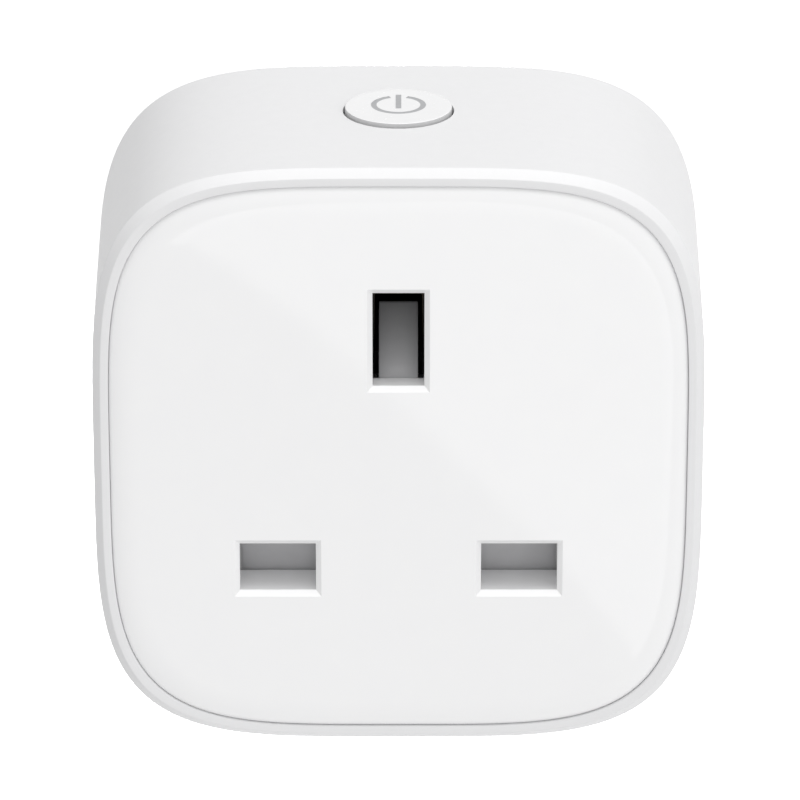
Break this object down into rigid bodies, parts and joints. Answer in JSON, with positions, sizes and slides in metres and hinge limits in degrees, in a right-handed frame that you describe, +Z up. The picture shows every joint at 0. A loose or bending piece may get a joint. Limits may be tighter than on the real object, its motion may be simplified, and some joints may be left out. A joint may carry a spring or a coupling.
{
  "type": "plug-in power meter socket",
  "caption": "White plug-through smart socket with energy metering: glossy shuttered outlet in front, push button on top, three plug pins behind.",
  "frame": {"origin": "middle of the flat rear face, midway in height between the line and neutral pins and the earth pin", "axes": "+Z up, +Y out of the rear face along the plug pins, socket slots face -Y, +X to the right seen from the front"},
  "size_m": [0.0578, 0.0572, 0.0579],
  "materials": {
    "satin_shell": "satin white polycarbonate, fine mould texture",
    "satin_shell_rear": "satin white polycarbonate, fine mould texture",
    "gloss_face": "polished white polycarbonate",
    "button_cap": "semi-gloss white",
    "icon_inlay": "translucent grey light guide",
    "steel_screw": "zinc plated",
    "brass_strip": "rolled strip",
    "brass_pin": "drawn and tumbled",
    "pin_sleeve": "black insulating sleeve",
    "moulded_insulator": "black glass-filled moulding",
    "shutter_grey": "light grey moulding",
    "spring_steel": "drawn wire",
    "black_moulding": "black moulding",
    "circuit_board": "green solder mask",
    "led_lens": "clear lens over phosphor",
    "relay_case": "blue case",
    "ferrite": "sintered ferrite",
    "coil_tape": "amber tape over the winding",
    "capacitor_can": "dark sleeve",
    "film_box": "yellow box",
    "varistor_coat": "blue epoxy coat",
    "resistor_body": "grey-green coat",
    "chip_package": "black epoxy",
    "shunt_metal": "manganin strip",
    "shield_can": "tinned steel"
  },
  "bodies": {
    "plug_body": {"front_housing": "satin_shell", "face_plate": "gloss_face", "rear_cover": "satin_shell_rear", "cover_screws": "steel_screw", "tact_switch": "black_moulding", "control_board": "circuit_board", "status_led": "led_lens", "shutter_springs": "spring_steel", "contact_carrier": "moulded_insulator", "carrier_screws": "steel_screw", "line_contact": "brass_strip", "neutral_contact": "brass_strip", "earth_contact": "brass_strip", "line_pin": "brass_pin", "neutral_pin": "brass_pin", "earth_pin": "brass_pin", "line_pin_sleeve": "pin_sleeve", "neutral_pin_sleeve": "pin_sleeve", "pin_clamp": "moulded_insulator", "clamp_screws": "steel_screw", "line_link": "brass_strip", "neutral_link": "brass_strip", "earth_link": "brass_strip", "main_board": "circuit_board", "relay": "relay_case", "transformer_core": "ferrite", "transformer_coil": "coil_tape", "line_choke": "ferrite", "bulk_capacitor_a": "capacitor_can", "bulk_capacitor_b": "capacitor_can", "output_capacitor": "capacitor_can", "film_capacitor": "film_box", "varistor": "varistor_coat", "fusible_resistor": "resistor_body", "bridge_rectifier": "chip_package", "regulator": "chip_package", "metering_chip": "chip_package", "shunt_resistor": "shunt_metal", "wifi_board": "circuit_board", "wifi_shield": "shield_can"},
    "button": {"power_button": "button_cap", "power_icon": "icon_inlay"},
    "plunger": {"tact_plunger": "black_moulding"},
    "shutter_slide": {"shutter": "shutter_grey"}
  },
  "joints": [
    {"name": "button_press", "type": "slide", "parent": "plug_body", "child": "button", "axis": [0, 0.0346, -0.9994], "range_m": [0, 0.0004], "stiffness_N_per_m": 1500, "springref_m": -0.0004},
    {"name": "plunger_press", "type": "slide", "parent": "plug_body", "child": "plunger", "axis": [0, 0, -1], "range_m": [0, 0.0004]},
    {"name": "shutter_slide_down", "type": "slide", "parent": "plug_body", "child": "shutter_slide", "axis": [0, 0, -1], "range_m": [0, 0.005], "stiffness_N_per_m": 120, "springref_m": -0.004, "deforming": ["shutter_springs"]}
  ],
  "couplings": [
    {"joint": "plunger_press", "follows": "button_press", "ratio": 1}
  ]
}
